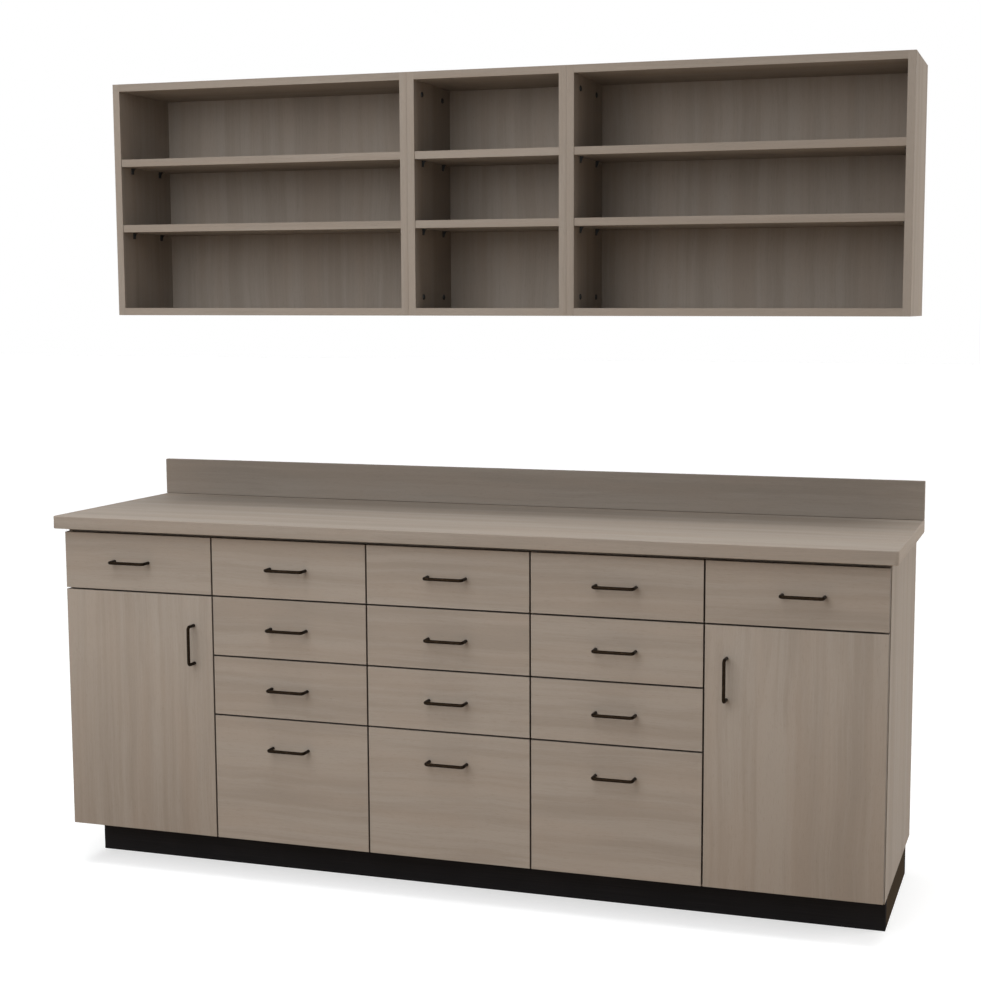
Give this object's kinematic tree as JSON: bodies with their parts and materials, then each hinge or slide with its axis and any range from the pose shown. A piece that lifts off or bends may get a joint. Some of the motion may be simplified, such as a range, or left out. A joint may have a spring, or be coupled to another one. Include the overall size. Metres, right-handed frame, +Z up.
{
  "type": "pharmacy cabinet with wall shelves",
  "caption": "Pharmacy base cabinet with drawers, cupboard doors, countertop and backsplash, under a row of open wall-hung shelf units, in greige wood-grain laminate with dark wire pulls.",
  "frame": {"origin": "on the floor, at the middle of the whole object's box in plan", "axes": "+Z up, +X to the right along the row of drawers, +Y back towards the wall"},
  "size_m": [2.1254, 0.591, 2.024],
  "materials": {
    "front_laminate": "satin wood-grain laminate, greige",
    "carcass_laminate": "satin wood-grain laminate, greige",
    "counter_laminate": "satin wood-grain laminate, greige, post-formed edge",
    "wall_unit_laminate": "satin wood-grain laminate, greige",
    "plinth_black": "matte black laminate",
    "pull_bronze": "satin dark bronze",
    "hinge_nickel": "nickel plated"
  },
  "bodies": {
    "cabinet": {"plinth_front": "plinth_black", "plinth_rear": "plinth_black", "plinth_left_end": "plinth_black", "plinth_right_end": "plinth_black", "base_bottom": "carcass_laminate", "base_back": "carcass_laminate", "base_front_rail": "carcass_laminate", "base_left_end": "carcass_laminate", "base_right_end": "carcass_laminate", "base_partition_1": "carcass_laminate", "base_partition_2": "carcass_laminate", "base_partition_3": "carcass_laminate", "base_partition_4": "carcass_laminate", "countertop": "counter_laminate", "backsplash": "counter_laminate", "wall_unit_left": "wall_unit_laminate", "wall_shelf_left_lower": "wall_unit_laminate", "wall_shelf_left_upper": "wall_unit_laminate", "wall_unit_middle": "wall_unit_laminate", "wall_shelf_middle_lower": "wall_unit_laminate", "wall_shelf_middle_upper": "wall_unit_laminate", "wall_unit_right": "wall_unit_laminate", "wall_shelf_right_lower": "wall_unit_laminate", "wall_shelf_right_upper": "wall_unit_laminate", "hinge_left_lower": "hinge_nickel", "hinge_left_upper": "hinge_nickel", "hinge_right_lower": "hinge_nickel", "hinge_right_upper": "hinge_nickel"},
    "drawer_1_1": {"drawer_1_1": "front_laminate", "drawer_pull_1_1": "pull_bronze"},
    "drawer_2_1": {"drawer_2_1": "front_laminate", "drawer_pull_2_1": "pull_bronze"},
    "drawer_2_2": {"drawer_2_2": "front_laminate", "drawer_pull_2_2": "pull_bronze"},
    "drawer_2_3": {"drawer_2_3": "front_laminate", "drawer_pull_2_3": "pull_bronze"},
    "drawer_2_4": {"drawer_2_4": "front_laminate", "drawer_pull_2_4": "pull_bronze"},
    "drawer_3_1": {"drawer_3_1": "front_laminate", "drawer_pull_3_1": "pull_bronze"},
    "drawer_3_2": {"drawer_3_2": "front_laminate", "drawer_pull_3_2": "pull_bronze"},
    "drawer_3_3": {"drawer_3_3": "front_laminate", "drawer_pull_3_3": "pull_bronze"},
    "drawer_3_4": {"drawer_3_4": "front_laminate", "drawer_pull_3_4": "pull_bronze"},
    "drawer_4_1": {"drawer_4_1": "front_laminate", "drawer_pull_4_1": "pull_bronze"},
    "drawer_4_2": {"drawer_4_2": "front_laminate", "drawer_pull_4_2": "pull_bronze"},
    "drawer_4_3": {"drawer_4_3": "front_laminate", "drawer_pull_4_3": "pull_bronze"},
    "drawer_4_4": {"drawer_4_4": "front_laminate", "drawer_pull_4_4": "pull_bronze"},
    "drawer_5_1": {"drawer_5_1": "front_laminate", "drawer_pull_5_1": "pull_bronze"},
    "door_left": {"door_left": "front_laminate", "door_pull_left": "pull_bronze"},
    "door_right": {"door_right": "front_laminate", "door_pull_right": "pull_bronze"}
  },
  "joints": [
    {"name": "drawer_1_1_slide", "type": "slide", "parent": "cabinet", "child": "drawer_1_1", "axis": [0, -1, 0], "range_m": [0, 0.35]},
    {"name": "drawer_2_1_slide", "type": "slide", "parent": "cabinet", "child": "drawer_2_1", "axis": [0, -1, 0], "range_m": [0, 0.35]},
    {"name": "drawer_2_2_slide", "type": "slide", "parent": "cabinet", "child": "drawer_2_2", "axis": [0, -1, 0], "range_m": [0, 0.35]},
    {"name": "drawer_2_3_slide", "type": "slide", "parent": "cabinet", "child": "drawer_2_3", "axis": [0, -1, 0], "range_m": [0, 0.35]},
    {"name": "drawer_2_4_slide", "type": "slide", "parent": "cabinet", "child": "drawer_2_4", "axis": [0, -1, 0], "range_m": [0, 0.35]},
    {"name": "drawer_3_1_slide", "type": "slide", "parent": "cabinet", "child": "drawer_3_1", "axis": [0, -1, 0], "range_m": [0, 0.35]},
    {"name": "drawer_3_2_slide", "type": "slide", "parent": "cabinet", "child": "drawer_3_2", "axis": [0, -1, 0], "range_m": [0, 0.35]},
    {"name": "drawer_3_3_slide", "type": "slide", "parent": "cabinet", "child": "drawer_3_3", "axis": [0, -1, 0], "range_m": [0, 0.35]},
    {"name": "drawer_3_4_slide", "type": "slide", "parent": "cabinet", "child": "drawer_3_4", "axis": [0, -1, 0], "range_m": [0, 0.35]},
    {"name": "drawer_4_1_slide", "type": "slide", "parent": "cabinet", "child": "drawer_4_1", "axis": [0, -1, 0], "range_m": [0, 0.35]},
    {"name": "drawer_4_2_slide", "type": "slide", "parent": "cabinet", "child": "drawer_4_2", "axis": [0, -1, 0], "range_m": [0, 0.35]},
    {"name": "drawer_4_3_slide", "type": "slide", "parent": "cabinet", "child": "drawer_4_3", "axis": [0, -1, 0], "range_m": [0, 0.35]},
    {"name": "drawer_4_4_slide", "type": "slide", "parent": "cabinet", "child": "drawer_4_4", "axis": [0, -1, 0], "range_m": [0, 0.35]},
    {"name": "drawer_5_1_slide", "type": "slide", "parent": "cabinet", "child": "drawer_5_1", "axis": [0, -1, 0], "range_m": [0, 0.35]},
    {"name": "door_left_hinge", "type": "hinge", "parent": "cabinet", "child": "door_left", "pos_m": [-1.03525, -0.253, 0.41625], "axis": [0, 0, -1], "range_deg": [0, 95]},
    {"name": "door_right_hinge", "type": "hinge", "parent": "cabinet", "child": "door_right", "pos_m": [1.03525, -0.253, 0.41625], "axis": [0, 0, 1], "range_deg": [0, 95]}
  ]
}
